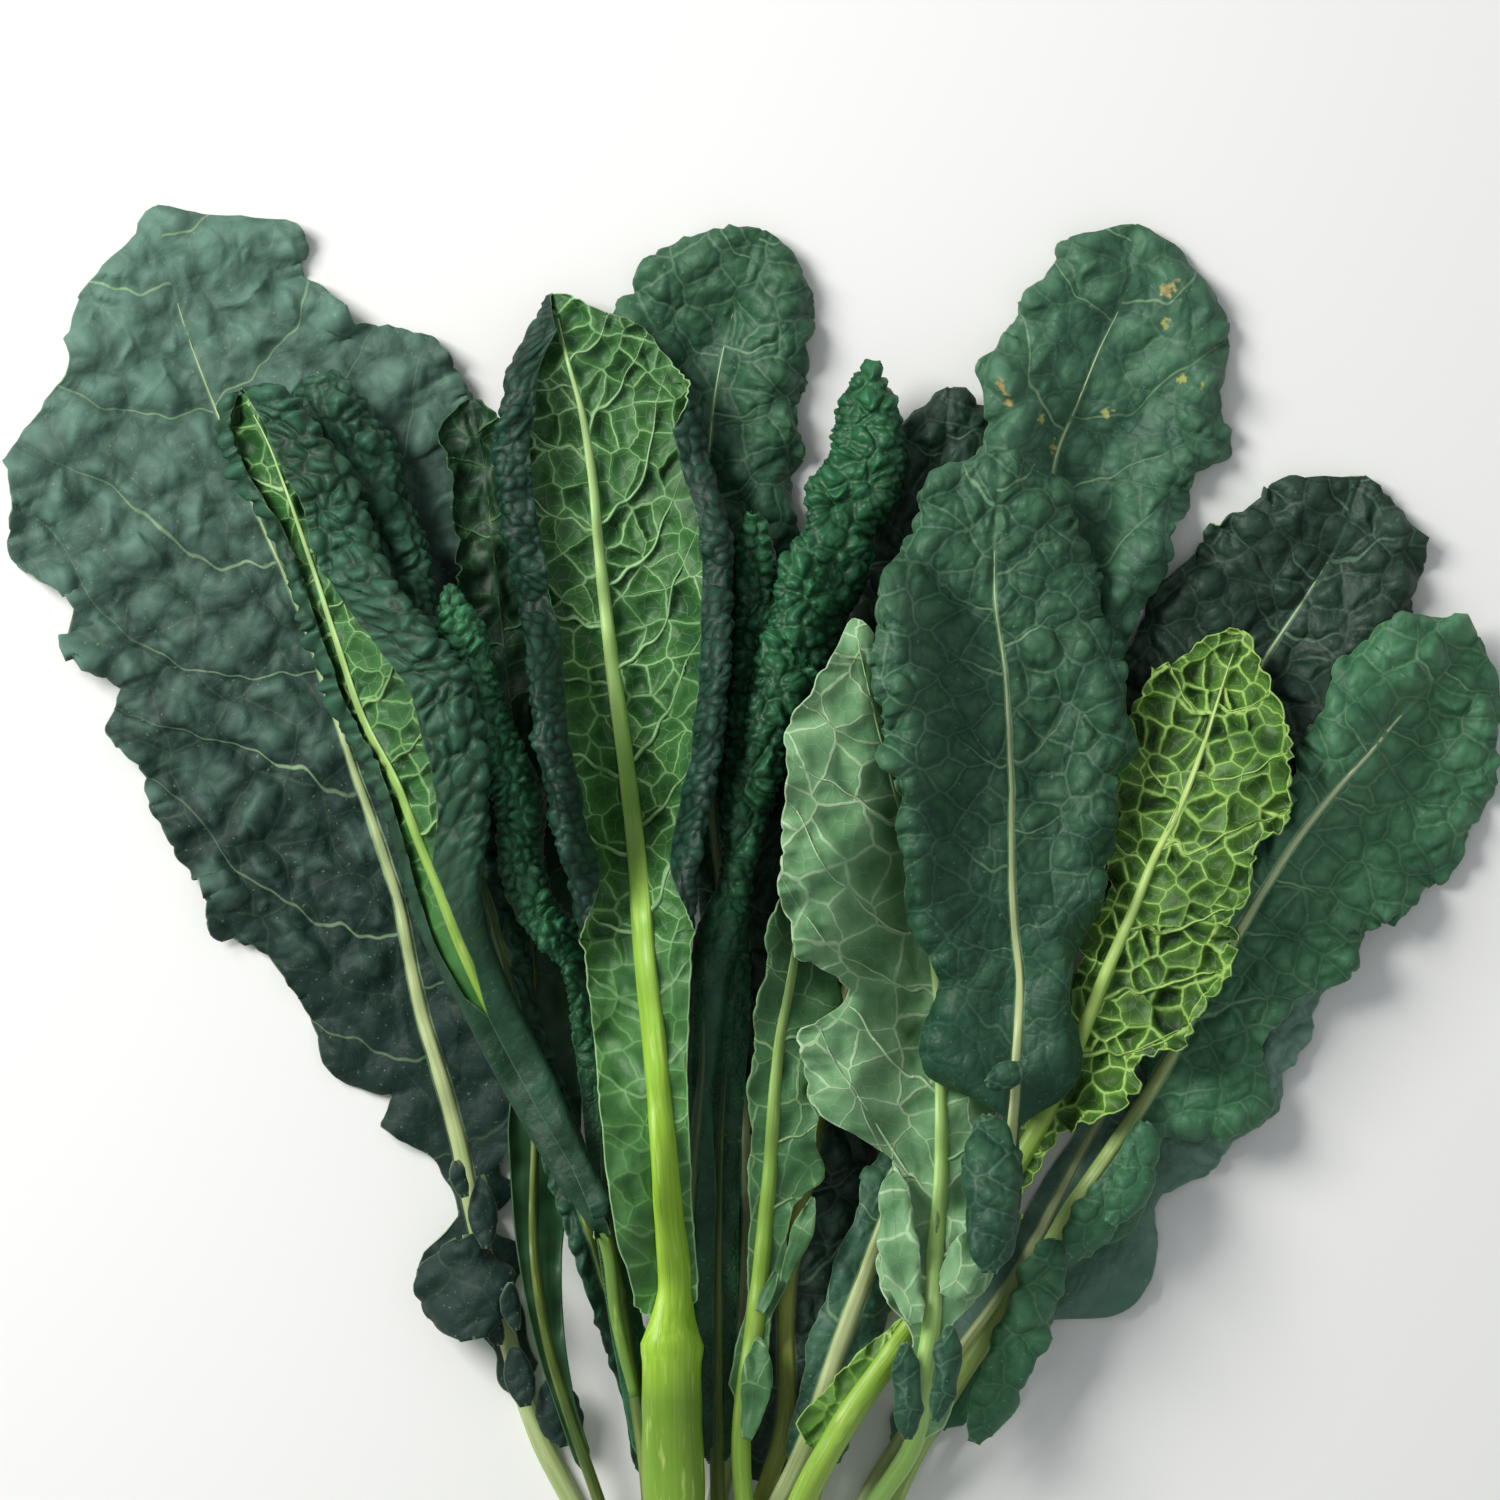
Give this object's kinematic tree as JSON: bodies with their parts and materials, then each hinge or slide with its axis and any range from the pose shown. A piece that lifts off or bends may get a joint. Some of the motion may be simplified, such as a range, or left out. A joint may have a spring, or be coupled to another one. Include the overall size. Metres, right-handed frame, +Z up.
{
  "type": "bunch of lacinato kale",
  "caption": "Loose bunch of long puckered dark green kale leaves with pale midribs, fanned out from their bundled stalks and lying down.",
  "frame": {"origin": "the middle of the bounding box, at the height of the surface that the bunch lies on", "axes": "+Y from the cut ends towards the leaf tips, +X to the right seen from above, +Z up from the surface"},
  "size_m": [0.4928, 0.5094, 0.0691],
  "materials": {
    "blue_green_blade": "matt, waxy, puckered leaf, blue-green upper face",
    "waxy_green_blade": "matt, waxy, puckered leaf, dark green upper face",
    "black_green_blade": "matt, waxy, puckered leaf, almost black-green upper face",
    "grey_green_blade": "matt, waxy leaf, grey-green upper face",
    "rolled_green_blade": "finely puckered leaf rolled up with its dark upper face outside",
    "bright_green_underside": "leaf underside, bright green with a raised pale net of veins",
    "yellow_green_underside": "leaf underside, yellow-green with a raised pale net of veins",
    "pale_underside_blade": "leaf underside, soft pale green with a raised pale net of veins",
    "pale_stalk": "smooth, moist, pale cream-green stalk",
    "lime_stalk": "smooth, moist, lime-green stalk",
    "olive_stalk": "smooth, dull, olive-green stalk"
  },
  "bodies": {
    "root": {"grey_back_blade": "grey_green_blade", "grey_back_stalk": "pale_stalk", "dark_back_blade": "black_green_blade", "dark_back_stalk": "pale_stalk", "broad_left_blade": "blue_green_blade", "broad_left_stalk": "pale_stalk", "back_centre_blade": "waxy_green_blade", "back_centre_stalk": "pale_stalk", "dark_middle_blade": "black_green_blade", "dark_middle_stalk": "olive_stalk", "tall_right_blade": "waxy_green_blade", "tall_right_stalk": "pale_stalk", "shaded_left_blade": "black_green_blade", "shaded_left_stalk": "olive_stalk", "far_right_blade": "waxy_green_blade", "far_right_stalk": "pale_stalk", "small_curl_blade": "rolled_green_blade", "small_curl_stalk": "olive_stalk", "rear_curl_blade": "waxy_green_blade", "rear_curl_stalk": "olive_stalk", "puckered_roll_blade": "rolled_green_blade", "puckered_roll_stalk": "olive_stalk", "narrow_curl_blade": "rolled_green_blade", "narrow_curl_stalk": "olive_stalk", "left_of_pale_blade": "pale_underside_blade", "left_of_pale_stalk": "lime_stalk", "front_left_roll_blade": "waxy_green_blade", "front_left_roll_stalk": "lime_stalk", "bright_right_blade": "yellow_green_underside", "bright_right_stalk": "lime_stalk", "pale_underside_blade": "pale_underside_blade", "pale_underside_stalk": "lime_stalk", "front_centre_blade": "bright_green_underside", "front_centre_stalk": "lime_stalk", "front_right_blade": "waxy_green_blade", "front_right_stalk": "pale_stalk"}
  },
  "joints": []
}
